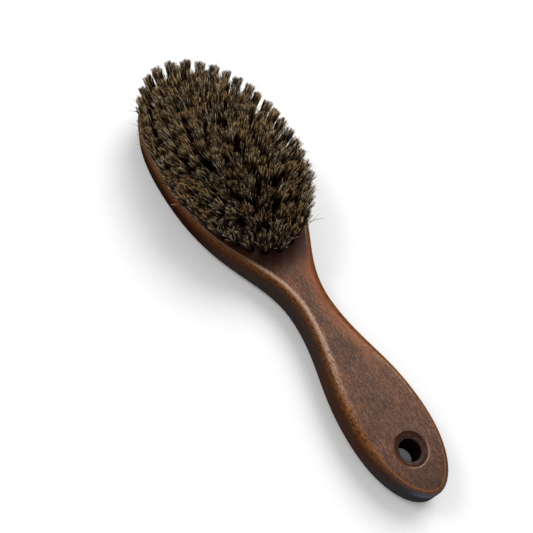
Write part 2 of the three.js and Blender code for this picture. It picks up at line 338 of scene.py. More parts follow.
class BeechLayers:
    """The stained wood's colour, with its painted light and shade, laid layer by layer over the
    forms of the brush back.

    Along the back, a ramp's limits are in mm from the handle's tip. Over the edge they are in mm
    past the edge of the flat face: below 0 on the face, and more down the wall.
    """

    def __init__(self, graph: Graph, finish: "StainedBeech", back: "BrushBack") -> None:
        """Adds the nodes that say where a point lies and what the grain is like there.

        Args:
            graph: The wood's node graph.
            finish: The finish, which gives the colours.
            back: The brush back, which gives the places of its forms.
        """
        self.graph, self.finish, self.back = graph, finish, back
        place = graph.node("TexCoord", {}, {}, "Object")
        in_mm = graph.node("Mapping", {}, {"Vector": place, "Scale": (1000.0, 1000.0, 1000.0)})
        streaks = graph.scaled(in_mm, (0.16, 1.0, 1.0))
        flecks = graph.scaled(in_mm, (0.6, 1.5, 1.5))
        self.fibre = graph.noise(streaks, 1.5, 4.0, 0.6)
        self.fleck = graph.noise(flecks, 1.1, 4.0, 0.7)
        self.grit = graph.noise(flecks, 2.4, 3.0, 0.75)
        self.cloud = graph.noise(in_mm, 0.11, 2.0, 0.5)
        self.patch = graph.noise(streaks, 0.35, 2.0, 0.5)
        self.tone = 0.26 * self.fibre + 0.26 * self.fleck + 0.48 * self.grit
        self.mottle = self.tone.ramp(0.44, 0.57)
        self.worn = 0.35 + 0.65 * self.grit.ramp(0.42, 0.56)

        self.along = graph.node("SeparateXYZ", {}, {0: in_mm}, "X")
        self.across = graph.other(self.along, "Y")
        self.left = self.across.ramp(-2.0, 2.0)
        self.from_tip = self.along - back.tip_x / MM
        self.tip = self.from_tip.ramp(10.0, 34.0, 1.0, 0.0)
        self.neck = self.from_tip.ramp(40.0, 78.0) * self.from_tip.ramp(100.0, 116.0, 1.0, 0.0)
        self.head = self.from_tip.ramp(106.0, 124.0)
        self.over = graph.node("Attribute", {"attribute_name": OVER_EDGE}, {}, "Fac")
        self.wander = self.over + (self.fleck - 0.5) * 0.9
        self.wood = graph.blend(finish.dark, finish.middle, self.tone.ramp(0.41, 0.48))

    def lay(self, colour: Wire | Shade, share: Feed) -> None:
        """Lays one more colour over the wood."""
        self.wood = self.graph.blend(self.wood, colour, share)

    def stain_light_and_shade(self) -> None:
        """The grain in its stain, darker at the handle's tip, with painted shade where the
        bristles start and painted light on the neck's right side.
        """
        finish, from_tip = self.finish, self.from_tip
        self.lay(finish.light, self.tone.ramp(0.49, 0.59))
        warmth = self.patch.ramp(0.38, 0.64) * (0.22 + 0.42 * self.neck) * self.mottle
        # Tawny patches of the stain, and painted light that makes the neck's right side warmer and
        # lighter, where the key lamp falls.
        self.lay(finish.tawny, warmth + self.neck * self.across.ramp(-1.0, -7.0) * 0.65)
        self.lay(finish.dark, self.cloud.ramp(0.5, 0.72) * 0.4)
        # Darker towards the handle's tip, and painted shade on the face where the bristles start.
        self.lay(finish.dark, from_tip.ramp(22.0, 4.0) * 0.55 + from_tip.ramp(94.0, 112.0) * 0.85)
        self.lay(finish.head_side, self.head * 0.4)

    def side_wall(self) -> None:
        """The side wall: its amber bevel, its flat, its foot darkened with painted shade, and a
        painted reflection and sheen at the tip.
        """
        finish, from_tip, wander = self.finish, self.from_tip, self.wander
        tip, neck, head, blend = self.tip, self.neck, self.head, self.graph.blend
        wall = blend(finish.side, finish.head_side, head)
        # Painted reflection: the tip's wall is tinted blue-grey, as its lacquer reflecting the
        # sky.
        wall = blend(wall, finish.tip_reflection, from_tip.ramp(18.0, 5.0) * 0.8)
        bevel = blend(finish.bevel_dark, finish.bevel, self.fleck.ramp(0.4, 0.56))
        broad = wander.ramp(5.2, 1.8) * (1.0 - tip) + wander.ramp(1.2, 0.3) * tip
        wall = blend(wall, bevel, broad)
        warm = 0.58 - 0.46 * tip - 0.38 * head - 0.26 * neck * self.left
        wall = blend(wall, finish.amber, self.mottle * wander.ramp(4.2, 0.8) * warm)
        self.lay(wall, wander.ramp(-0.3, 0.7))
        # Painted shade: the wall darkens towards its foot, standing in for the shade on walls
        # turned away from the lamps.
        foot = blend(finish.handle_foot_shade, finish.neck_foot_shade, from_tip.ramp(48.0, 76.0))
        foot = blend(foot, finish.head_foot_shade, from_tip.ramp(118.0, 146.0))
        # The painted blue-grey reflection reaches down to the tip's foot.
        foot = blend(foot, finish.tip_reflection, from_tip.ramp(28.0, 10.0))
        self.lay(foot, wander.ramp(4.4 - 1.4 * neck - 0.8 * head, 8.4 - 2.4 * neck) * 0.95)
        sheen = self.over.peak(3.4, 3.0) * from_tip.ramp(7.0, 1.5)
        self.lay(finish.tip_sheen, sheen * 0.8)

    def edge_wear_and_light(self) -> None:
        """The upper edge: a fine worn line, painted light on the neck's right side, and painted
        highlights along the right edge, the head's rim and the crest on the left.
        """
        finish, from_tip, wander = self.finish, self.from_tip, self.wander
        line = wander.peak(0.05, 0.4) * self.worn
        self.lay(finish.amber, line * from_tip.ramp(20.0, 42.0, 0.8, 0.0))
        upper_handle = from_tip.ramp(26.0, 50.0) * from_tip.ramp(66.0, 82.0, 1.0, 0.0)
        # Painted highlight: a pale line along the upper handle's right edge and along the head's
        # rim.
        pale = (line + wander.ramp(-2.8, -0.2) * wander.ramp(0.7, 0.2) * 0.35) * self.mottle
        right_edge_highlight = pale * upper_handle * self.across.ramp(0.0, -4.0) * 0.6
        self.lay(finish.pale_highlight, right_edge_highlight + line * self.head * 0.7)
        # Painted light: an orange strip on the neck's right side, where the key lamp falls.
        lit_orange = wander.ramp(-2.4, -0.4) * wander.ramp(2.4, 0.8) * self.neck * (1.0 - self.left)
        self.lay(finish.lit_orange, lit_orange * (0.25 + 0.5 * self.mottle))
        # Painted highlight: a pale, grainy band along the crest of the neck's left shoulder, where
        # a lamp is reflected.
        ridge = from_tip.ramp(26.0, 68.0) * from_tip.ramp(104.0, 120.0, 1.0, 0.0) * self.left
        fine = from_tip.ramp(58.0, 84.0)
        crest_highlight = wander.ramp(-1.6 + 0.8 * fine, 0.5) * wander.ramp(2.2 - 0.5 * fine, 0.6)
        ticks = self.fleck.ramp(0.4, 0.56)
        ticks = ticks + (1.0 - ticks) * fine * 0.5
        highlight_grain = (0.2 + 0.8 * ticks) * (0.45 + 0.5 * self.grit.ramp(0.42, 0.56))
        self.lay(finish.pale_highlight, crest_highlight * ridge * highlight_grain)

    def hanging_hole(self) -> Wire:
        """The dark dish and bore, with painted shade in the bore and on one side, and painted
        light on the rim.

        Returns:
            How far into the bore's painted shade a point is.
        """
        finish, bore, rim = self.finish, self.back.bore_radius, self.back.dish_rim_radius
        forward = self.along - self.back.hanging_hole_x / MM
        reach = (forward**2.0 + self.across * self.across) ** 0.5
        ragged = reach + (self.fleck - 0.5) * 0.5
        mottled_dish = self.graph.blend(finish.dish_dark, finish.bevel, self.mottle * 0.45)
        self.lay(mottled_dish, ragged.ramp(rim + 0.25, rim - 0.5) * 0.95)
        # Painted shade: one side of the dish and bore, towards the head and the left, is darkened.
        ahead, aside = finish.shaded_side
        facing = (forward * ahead + self.across * aside) / reach
        self.lay(finish.hole_shade, ragged.ramp(bore + 1.8, bore) * facing.ramp(0.0, 0.8) * 0.7)
        # Painted shade: the bore itself is painted near black.
        bore_shade = ragged.ramp(bore + 0.5, bore - 0.2)
        self.lay(finish.hole_shade, bore_shade)
        # Painted light: an amber line inside the dish's rim on the left side.
        left_rim_light = ragged.peak(rim - 0.5, 0.5) * (self.across / reach).ramp(0.1, 0.8)
        self.lay(finish.amber, left_rim_light * self.worn * 0.7)
        # Painted highlight: a pale line on the rim's side away from the painted shade.
        near_rim_highlight = ragged.peak(rim, 0.4) * facing.ramp(-0.1, -0.8)
        self.lay(finish.pale_highlight, near_rim_highlight * self.worn * 0.8)
        return bore_shade


@dataclass(frozen=True)
class StainedBeech:
    """Beech that is stained dark, sanded through a little at its edges and lacquered satin, with
    painted light, shade, highlights and a painted reflection among its colours.

    The hanging hole has painted shade on one side, given as a direction along and across the
    brush.
    """

    dark: Shade = (48, 29, 23)
    middle: Shade = (84, 56, 42)
    light: Shade = (132, 94, 69)
    tawny: Shade = (162, 98, 57)
    amber: Shade = (158, 96, 38)
    # Painted light on the neck's right side.
    lit_orange: Shade = (134, 68, 32)
    bevel: Shade = (106, 66, 36)
    bevel_dark: Shade = (54, 33, 20)
    side: Shade = (70, 48, 36)
    head_side: Shade = (86, 48, 29)
    # Painted shade at the wall's foot, along the handle, the neck and the head.
    handle_foot_shade: Shade = (76, 52, 42)
    neck_foot_shade: Shade = (66, 55, 51)
    head_foot_shade: Shade = (50, 28, 18)
    # Painted sheen and painted reflection, blue-grey on the wall at the handle's tip.
    tip_sheen: Shade = (112, 115, 132)
    tip_reflection: Shade = (62, 61, 66)
    # The dish's dark colour, and the near black of the painted shade in the bore and on one side
    # of the hole.
    dish_dark: Shade = (36, 24, 23)
    hole_shade: Shade = (13, 11, 11)
    # Painted highlights on the edges, the neck's crest and the hanging hole's rim.
    pale_highlight: Shade = (206, 168, 142)
    shaded_side: Pair = (0.93, 0.37)

    def material(self, back: "BrushBack") -> bpy.types.Material:
        """The wood's material.

        Args:
            back: The brush back that it is made for, which gives the places of its forms.

        Returns:
            The node material.
        """
        material, graph = new_material("stained_beech")
        at = BeechLayers(graph, self, back)
        at.stain_light_and_shade()
        at.side_wall()
        at.edge_wear_and_light()
        bore_shade = at.hanging_hole()
        low = at.over.ramp(0.6, 2.4)
        rough = 0.5 + 0.12 * at.tone.ramp(0.42, 0.6, 1.0, 0.0) + 0.2 * bore_shade + 0.15 * low
        gloss = 0.2 + 0.5 * at.wander.ramp(-0.9, 0.4) * (at.neck + 0.3 * at.head) * at.left
        relief = at.fibre * 0.3 + at.grit * 0.6 + at.fleck * 0.5
        feeds = {"Strength": 0.35, "Distance": 0.0003, "Height": relief}
        bump = graph.node("Bump", {}, feeds, "Normal")
        surface = graph.node(
            "BsdfPrincipled", {},
            {
                "Base Color": at.wood, "Roughness": rough, "Normal": bump, "IOR": 1.48,
                "Specular IOR Level": 0.0, "Coat Roughness": 0.3,
                "Coat Weight": gloss * (1.0 - low) * (1.0 - bore_shade),
            },
        )
        graph.node("OutputMaterial", {}, {"Surface": surface})
        return material


@dataclass(frozen=True)
class NaturalBristle:
    """Mixed hog bristle in two kinds, ashen and golden, which pales towards its split tips, with
    painted shade darkening it towards the roots.

    Each kind has four colours: its darkest and its middling hairs, its fair ones, and its tips.
    """

    # Painted shade at the roots, deep inside the tufts.
    root: Shade = (5, 4, 3)
    ash: tuple[Shade, ...] = ((9, 8, 7), (76, 59, 43), (160, 137, 102), (238, 217, 177))
    gold: tuple[Shade, ...] = ((16, 10, 6), (92, 60, 32), (158, 117, 68), (232, 196, 136))

    def material(self) -> bpy.types.Material:
        """The bristle's material.

        Returns:
            The node material, which reads each hair's kind, its tone and how far up it is.
        """
        material, graph = new_material("natural_bristle")
        place = graph.node("UVMap", {"uv_map": STRAND_MAP}, {}, "UV")
        code = graph.node("SeparateXYZ", {}, {0: place}, "X")
        up = graph.other(code, "Y")
        golden = code.above(0.5)
        tone = code * 2.0 - golden
        pale = up.ramp(0.6, 1.0) * (0.02 + 0.8 * tone.ramp(0.4, 0.9))
        shares = (tone.ramp(0.24, 0.48), tone.ramp(0.48, 0.86), pale)
        kinds = []
        for hair, *lighter in (self.ash, self.gold):
            for shade, share in zip(lighter, shares):
                hair = graph.blend(hair, shade, share)
            kinds.append(hair)
        hair = graph.blend(*kinds, golden)
        # Painted shade: the hairs darken towards their roots, where shade falls inside the tufts.
        hair = graph.blend(self.root, hair, up.ramp(0.36, 0.97, 0.07, 1.0))
        surface = graph.node(
            "BsdfPrincipled", {},
            {"Base Color": hair, "Roughness": 0.5, "IOR": 1.5, "Specular IOR Level": 0.15},
        )
        graph.node("OutputMaterial", {}, {"Surface": surface})
        return material


# ---- The wooden back ----


@dataclass(frozen=True)
class OutlineSpan:
    """One stretch of the back's edge, a curve that swells or narrows over a length, in mm."""

    length: float
    half_start: float
    half_end: float
    leave: float
    arrive: float
    steps: int

    def places(self, start: float) -> tuple[Array, Array]:
        """Points and unit tangents along the stretch.

        Args:
            start: The x in mm at which it starts.

        Returns:
            The points and the tangents, one row each.
        """
        along, p0 = np.array([self.length, 0.0]), np.array([start, self.half_start])
        p3 = np.array([start + self.length, self.half_end])
        p1 = p0 + self.leave * (along if self.half_start else np.array([0.0, self.half_end]))
        p2 = p3 - self.arrive * (along if self.half_end else np.array([0.0, -self.half_start]))
        t = np.linspace(0, 1, self.steps + 1)[:, None]
        u = 1 - t
        points = u**3 * p0 + 3 * u**2 * t * p1 + 3 * u * t**2 * p2 + t**3 * p3
        slopes = 3 * u**2 * (p1 - p0) + 6 * u * t * (p2 - p1) + 3 * t**2 * (p3 - p2)
        return points, slopes / np.linalg.norm(slopes, axis=1, keepdims=True)


@dataclass
class BrushBack:
    """The one-piece beech back: its handle, neck and head, the hanging hole and the tuft holes.

    Lengths are in mm, as in the part's own source, and x starts at the handle's tip. The upper
    edge's radii on the left and on the right go with edge_places. Each step of tuft_hole has a
    radius and a height from the face. The sole counts as sole_past over the face's edge.
    """

    thickness: float = 15.3
    lower_radius: float = 4.2
    lower_rings: int = 8
    upper_rings: int = 10
    edge_places: Floats = (0, 10, 20, 30, 42, 60, 85, 100, 112, 124, 140, 225)
    left_radii: Floats = (1.6, 1.7, 2.3, 3.3, 4.0, 4.3, 4.3, 3.5, 2.6, 1.6, 1.2, 1.2)
    right_radii: Floats = (1.6, 1.6, 1.6, 1.7, 2.0, 2.9, 3.6, 3.1, 2.4, 1.6, 1.2, 1.2)
    face_insets: Floats = (0.3, 0.8, 1.6, 2.6)
    sole_inset: float = 1.2
    sole_past: float = 20.0
    hole_from_tip: float = 17.5
    bore_radius: float = 4.2
    dish_rim_radius: float = 6.7
    dish_depth: float = 1.4
    dish_steps: int = 8
    bore_sides: int = 96
    cutter_overrun: float = 1.0
    tuft_hole: tuple[Pair, ...] = (
        (1.0, -8.0), (1.75, -7.5), (1.78, -0.2), (1.98, 0.02), (2.0, 1.5),
    )
    tuft_hole_sides: int = 16
    smooth_below: float = math.radians(32)
    finish: StainedBeech = field(default_factory=StainedBeech)
    spans: tuple[OutlineSpan, ...] = (
        OutlineSpan(31.4, 0.0, 15.2, 0.4, 0.706, 36),
        OutlineSpan(53.9, 15.2, 8.15, 0.432, 0.403, 22),
        OutlineSpan(90.8, 8.15, 29.6, 0.302, 0.615, 34),
        OutlineSpan(48.9, 29.6, 0.0, 0.796, 0.57, 44),
    )

    @property
    def tip_x(self) -> float:
        """Where the handle's tip is along the row frame's X, in metres."""
        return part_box("brush_body")[0].x

    @property
    def hanging_hole_x(self) -> float:
        """The hanging hole's axis along X, in metres."""
        return self.tip_x + self.hole_from_tip * MM

    def outline(self) -> tuple[Array, Array]:
        """The whole edge, seen from above.

        Returns:
            The points in mm and the unit directions that point inwards.
        """
        points, tangents, start = [], [], 0.0
        for number, span in enumerate(self.spans):
            places, slopes = span.places(start)
            points.append(places[min(number, 1):])
            tangents.append(slopes[min(number, 1):])
            start += span.length
        half, slope = np.concatenate(points), np.concatenate(tangents)
        inward = np.stack([slope[:, 1], -slope[:, 0]], 1)
        flip = np.array([1.0, -1.0])
        return tuple(np.concatenate([side[::-1], (side * flip)[1:-1]]) for side in (half, inward))

    def upper_radius(self, points: Array) -> Array:
        """The radius of the hand-sanded upper edge.

        Args:
            points: The outline's points, in mm.

        Returns:
            The radius at each of them, in mm.
        """
        x = points[:, 0]
        left = np.interp(x, self.edge_places, self.left_radii)
        right = np.interp(x, self.edge_places, self.right_radii)
        return np.where(points[:, 1] > 0, left, right)

    def profile(self, upper: Array) -> list[tuple[Array, Array, Array]]:
        """The section of the edge, ring by ring.

        Args:
            upper: The radius of the upper edge at each point of the outline, in mm.

        Returns:
            From the sole up, how far in each ring is, how high, and how far past the face's edge.
        """
        low, thick, quarter = self.lower_radius, self.thickness, math.pi / 2
        level = np.zeros_like(upper)
        wall = thick - low - upper
        wall_past = upper * quarter + wall
        sole = low + self.sole_inset
        rings = [(level + sole, level, wall_past + low * quarter + self.sole_inset)]
        for turn in np.linspace(0, quarter, self.lower_rings):
            inset, rise = low * (1 - math.sin(turn)), low * (1 - math.cos(turn))
            rings.append((level + inset, level + rise, wall_past + low * (quarter - turn)))
        for turn in np.linspace(0, quarter, self.upper_rings):
            inset, drop = upper * (1 - math.cos(turn)), upper * (1 - math.sin(turn))
            rings.append((inset, thick - drop, upper * (quarter - turn)))
        for inset in self.face_insets:
            rings.append((upper + inset, level + thick, level - inset))
        return rings

    def blank(self) -> tuple[Piece, Array, Array]:
        """The back before anything is drilled.

        Returns:
            The solid, the places of its corners in metres, and each corner's distance past the
            face's edge in mm.
        """
        points, inwards = self.outline()
        rings, past = [], []
        for inset, height, ring_past in self.profile(self.upper_radius(points)):
            flat = points + inwards * inset[:, None]
            ring = np.concatenate([flat, height[:, None]], 1) * MM
            ring[:, 0] += self.tip_x
            rings.append(ring)
            past.append(ring_past)
        return ring_solid("brush_back", rings), np.concatenate(rings), np.concatenate(past)

    def hanging_hole_cutter(self) -> Piece:
        """The hanging hole's form.

        Returns:
            A bore with a shallow dish at both ends.
        """
        bore, rim, over = self.bore_radius, self.dish_rim_radius, self.cutter_overrun
        dish = []
        for step in range(self.dish_steps + 1):
            turn = math.pi / 2 * step / self.dish_steps
            dish.append((bore + (rim - bore) * math.sin(turn), self.dish_depth * math.cos(turn)))
        levels = [(rim, -over), *reversed(dish)]
        levels += [(radius, self.thickness - depth) for radius, depth in dish]
        levels += [(rim, self.thickness + over)]
        sides = self.bore_sides
        rings = [circle_ring(radius * MM, height * MM, sides) for radius, height in levels]
        cutter = ring_solid("hanging_hole_cutter", rings)
        cutter.data.transform(Matrix.Translation((self.hanging_hole_x, 0, 0)))
        return cutter

    def tuft_holes_cutter(self, seats: Sequence["TuftSeat"]) -> Piece:
        """All the blind tuft holes as one form, each with a softened mouth.

        Args:
            seats: The tufts' places.

        Returns:
            The joined cutter.
        """
        sides = self.tuft_hole_sides
        rings = [circle_ring(radius * MM, height * MM, sides) for radius, height in self.tuft_hole]
        master = ring_solid("tuft_holes_cutter", rings)
        cutters = []
        for seat in seats:
            cutter = master.copy()
            cutter.data = master.data.copy()
            cutter.data.transform(seat.frame())
            bpy.context.scene.collection.objects.link(cutter)
            cutters.append(cutter)
        bpy.data.objects.remove(master)
        make_active(cutters[0])
        for cutter in cutters:
            cutter.select_set(True)
        bpy.ops.object.join()
        return cutters[0]

    def _record_edge(self, piece: Piece, places: Array, past: Array) -> None:
        """Writes each corner's distance past the face's edge, for the wood's material to read.

        Args:
            piece: The drilled back.
            places: The blank's corners, in metres.
            past: How far past the face's edge each of them is, in mm.
        """
        tree = KDTree(len(places))
        for number, place in enumerate(places):
            tree.insert(place, number)
        tree.balance()
        values = np.full(len(piece.data.vertices), -self.face_insets[-1], np.float32)
        for corner in piece.data.vertices:
            _, number, distance = tree.find(corner.co)
            if distance < SAME_PLACE:
                values[corner.index] = past[number]
            elif corner.co.z < 0.5 * self.thickness * MM:
                values[corner.index] = self.sole_past
        layer = piece.data.attributes.new(OVER_EDGE, "FLOAT", "POINT")
        layer.data.foreach_set("value", values)

    def build(self, seats: Sequence["TuftSeat"]) -> Piece:
        """Makes the drilled back and dresses it.

        Args:
            seats: The tufts' places.

        Returns:
            The finished piece.
        """
        piece, places, past = self.blank()
        cut_away(piece, self.hanging_hole_cutter())
        cut_away(piece, self.tuft_holes_cutter(seats))
        self._record_edge(piece, places, past)
        make_active(piece)
        bpy.ops.object.shade_smooth_by_angle(angle=self.smooth_below)
        piece.data.materials.clear()
        piece.data.materials.append(self.finish.material(self))
        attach(piece, BODY)
        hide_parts("brush_body")
        return piece


# ---- The bristles ----


@dataclass(frozen=True)
class TuftSeat:
    """Where one tuft stands: its hole's centre on the face, its direction, and its length."""

    node: str
    kind: TuftKind
    mouth: Vector
    axis: Vector
    length: float

    @property
    def towards_neck(self) -> float:
        """How far the tuft leans towards the neck, 0 to 1."""
        return max(0.0, -self.axis.x)

    def frame(self) -> Matrix:
        """The seat's own frame: Z along the tuft, from the hole's mouth."""
        turn = Vector((0, 0, 1)).rotation_difference(self.axis)
        return Matrix.Translation(self.mouth) @ turn.to_matrix().to_4x4()

    def directions(self) -> tuple[Array, Array, Array]:
        """The seat's two cross directions and its axis, as arrays."""
        turned = self.frame().to_3x3()
        return tuple(np.array(turned.col[i]) for i in range(3))


def ring_centres(places: Array, height: float, sides: int) -> list[Array]:
    """The centres of the tufts' rings at one height of a node, in order across the brush.

    Args:
        places: The node's corners, each once.
        height: The height of the rings, in metres.
        sides: How many corners each ring has.

    Returns:
        One centre for each tuft.
    """
    level = places[np.abs(places[:, 2] - height) < SAME_PLACE]
    level = level[np.argsort(level[:, 1])]
    return [level[i:i + sides].mean(0) for i in range(0, len(level), sides)]


def read_seats(back: BrushBack) -> list[TuftSeat]:
    """Reads from the solids where every tuft stands, how it leans and how long it is.

    Args:
        back: The brush back that the tufts are set in.

    Returns:
        The seats, by node.
    """
    face = back.thickness * MM
    seats = []
    for kind in TuftKind:
        prefix, sides = kind.value
        for node in sorted(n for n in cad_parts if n.startswith(prefix)):
            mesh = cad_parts[node].data
            places = corner_places(mesh)
            corners = np.unique(np.round(places, 7), axis=0)
            mouths = ring_centres(corners, face, sides)
            feet = ring_centres(corners, corners[:, 2].min(), sides)
            faces = [tuple(p.vertices) for p in mesh.polygons]
            skin = BVHTree.FromPolygons([tuple(p) for p in places], faces)
            for mouth, foot in zip(mouths, feet):
                axis = Vector(mouth - foot).normalized()
                start = Vector(mouth)
                hit = skin.ray_cast(start + axis * BEYOND_TIPS, -axis)[0]
                seats.append(TuftSeat(node, kind, start, axis, (hit - start).length))
    return seats


def round_about(turn: Array, radius: Array) -> Array:
    """Points round the middle of a plane, by their angle and their distance."""
    return np.stack([np.cos(turn), np.sin(turn)], 1) * radius[:, None]


@dataclass
class Strand:
    """One bristle, a slim three-sided taper that every hair of the brush is a copy of."""

    levels: Floats = (0.0, 0.34, 0.6, 0.82, 1.0)
    widths: Floats = (1.0, 1.0, 0.93, 0.8, 0.5)
    sides: int = 3
    map_strip: float = 0.004

    def __post_init__(self) -> None:
        """Models the master hair, one unit long and one in radius, and keeps its form."""
        rings = [circle_ring(width, up, self.sides) for up, width in zip(self.levels, self.widths)]
        master = ring_solid("master_strand", rings)
        self.shape = corner_places(master.data)
        self.polygons = [tuple(p.vertices) for p in master.data.polygons]
        self.ring = np.abs(self.shape[:, 2:] - np.array(self.levels)).argmin(1)
        bpy.data.objects.remove(master)

    def piece(self, name: str, corners: Array, code: Array) -> Piece:
        """One piece of many hairs, mapped so that a material can read each hair's code.

        Args:
            name: The piece's name.
            corners: The corners of every hair, in metres, hair by hair.
            code: Each hair's kind and tone in one number.

        Returns:
            The piece, undressed.
        """
        per_hair = len(self.shape)
        faces = [
            tuple(corner + hair * per_hair for corner in polygon)
            for hair in range(len(code)) for polygon in self.polygons
        ]
        mesh = bpy.data.meshes.new(name)
        mesh.from_pydata(corners.tolist(), [], faces)
        loops = np.empty(len(mesh.loops), np.int32)
        mesh.loops.foreach_get("vertex_index", loops)
        angle = np.arctan2(self.shape[:, 1], self.shape[:, 0])
        strip = self.map_strip * np.round(angle * self.sides / (2 * math.pi))
        height = 0.01 + 0.98 * np.array(self.levels)[self.ring] + 0.5 * strip
        across = code[loops // per_hair] + strip[loops % per_hair]
        uv = np.stack([across, height[loops % per_hair]], 1)
        layer = mesh.uv_layers.new(name=STRAND_MAP)
        layer.data.foreach_set("uv", uv.astype(np.float32).ravel())
        piece = bpy.data.objects.new(name, mesh)
        bpy.context.scene.collection.objects.link(piece)
        make_active(piece)
        bpy.ops.object.shade_smooth()
        return piece


@dataclass(frozen=True)
class TuftHabit:
    """How the hairs of one kind of tuft stand, in mm, with random ranges as pairs.

    The tuft opens by fill, a share of the way to its neighbours. What the neck adds grows with
    the tuft's lean towards it. The hairs stand straighter than the tuft's axis by
    far_straightening on the -Y side, and on the +Y side by near_straightening times what
    straightened_by gives at the places straightened_at along the brush. The powers say how late
    along its length a hair opens, bends and leans.
    """

    hairs: int
    neighbours: int
    tip_scatter: float
    unevenness: float
    lean_scatter: float
    fill: float
    neck_fill: float = 0.0
    neck_lean: float = 0.0
    has_strays: bool = False
    far_straightening: float = 0.0
    near_straightening: float = 0.36
    straightened_at: Floats = (15.0, 45.0, 68.0, 84.0, 95.0)
    straightened_by: Floats = (0.0, 0.45, 0.95, 0.6, 0.3)
    upright_within: float = 0.12
    root_radius: float = 1.55
    sunk: float = 2.0
    locks: int = 12
    lock_pull: Pair = (0.15, 0.8)
    short_share: float = 0.2
    short_by: Pair = (0.6, 6.0)
    longest_over: float = 0.9
    bent_share: float = 0.03
    bent_by: Pair = (0.8, 1.9)
    wild_share: float = 0.007
    wild_bend: Pair = (2.5, 5.5)
    stray_share: float = 0.016
    neck_stray_share: float = 0.05
    stray_bend: Pair = (0.8, 4.4)
    opening_power: float = 1.35
    bending_power: float = 2.4
    leaning_power: float = 1.5
    outer_margin: float = 0.8


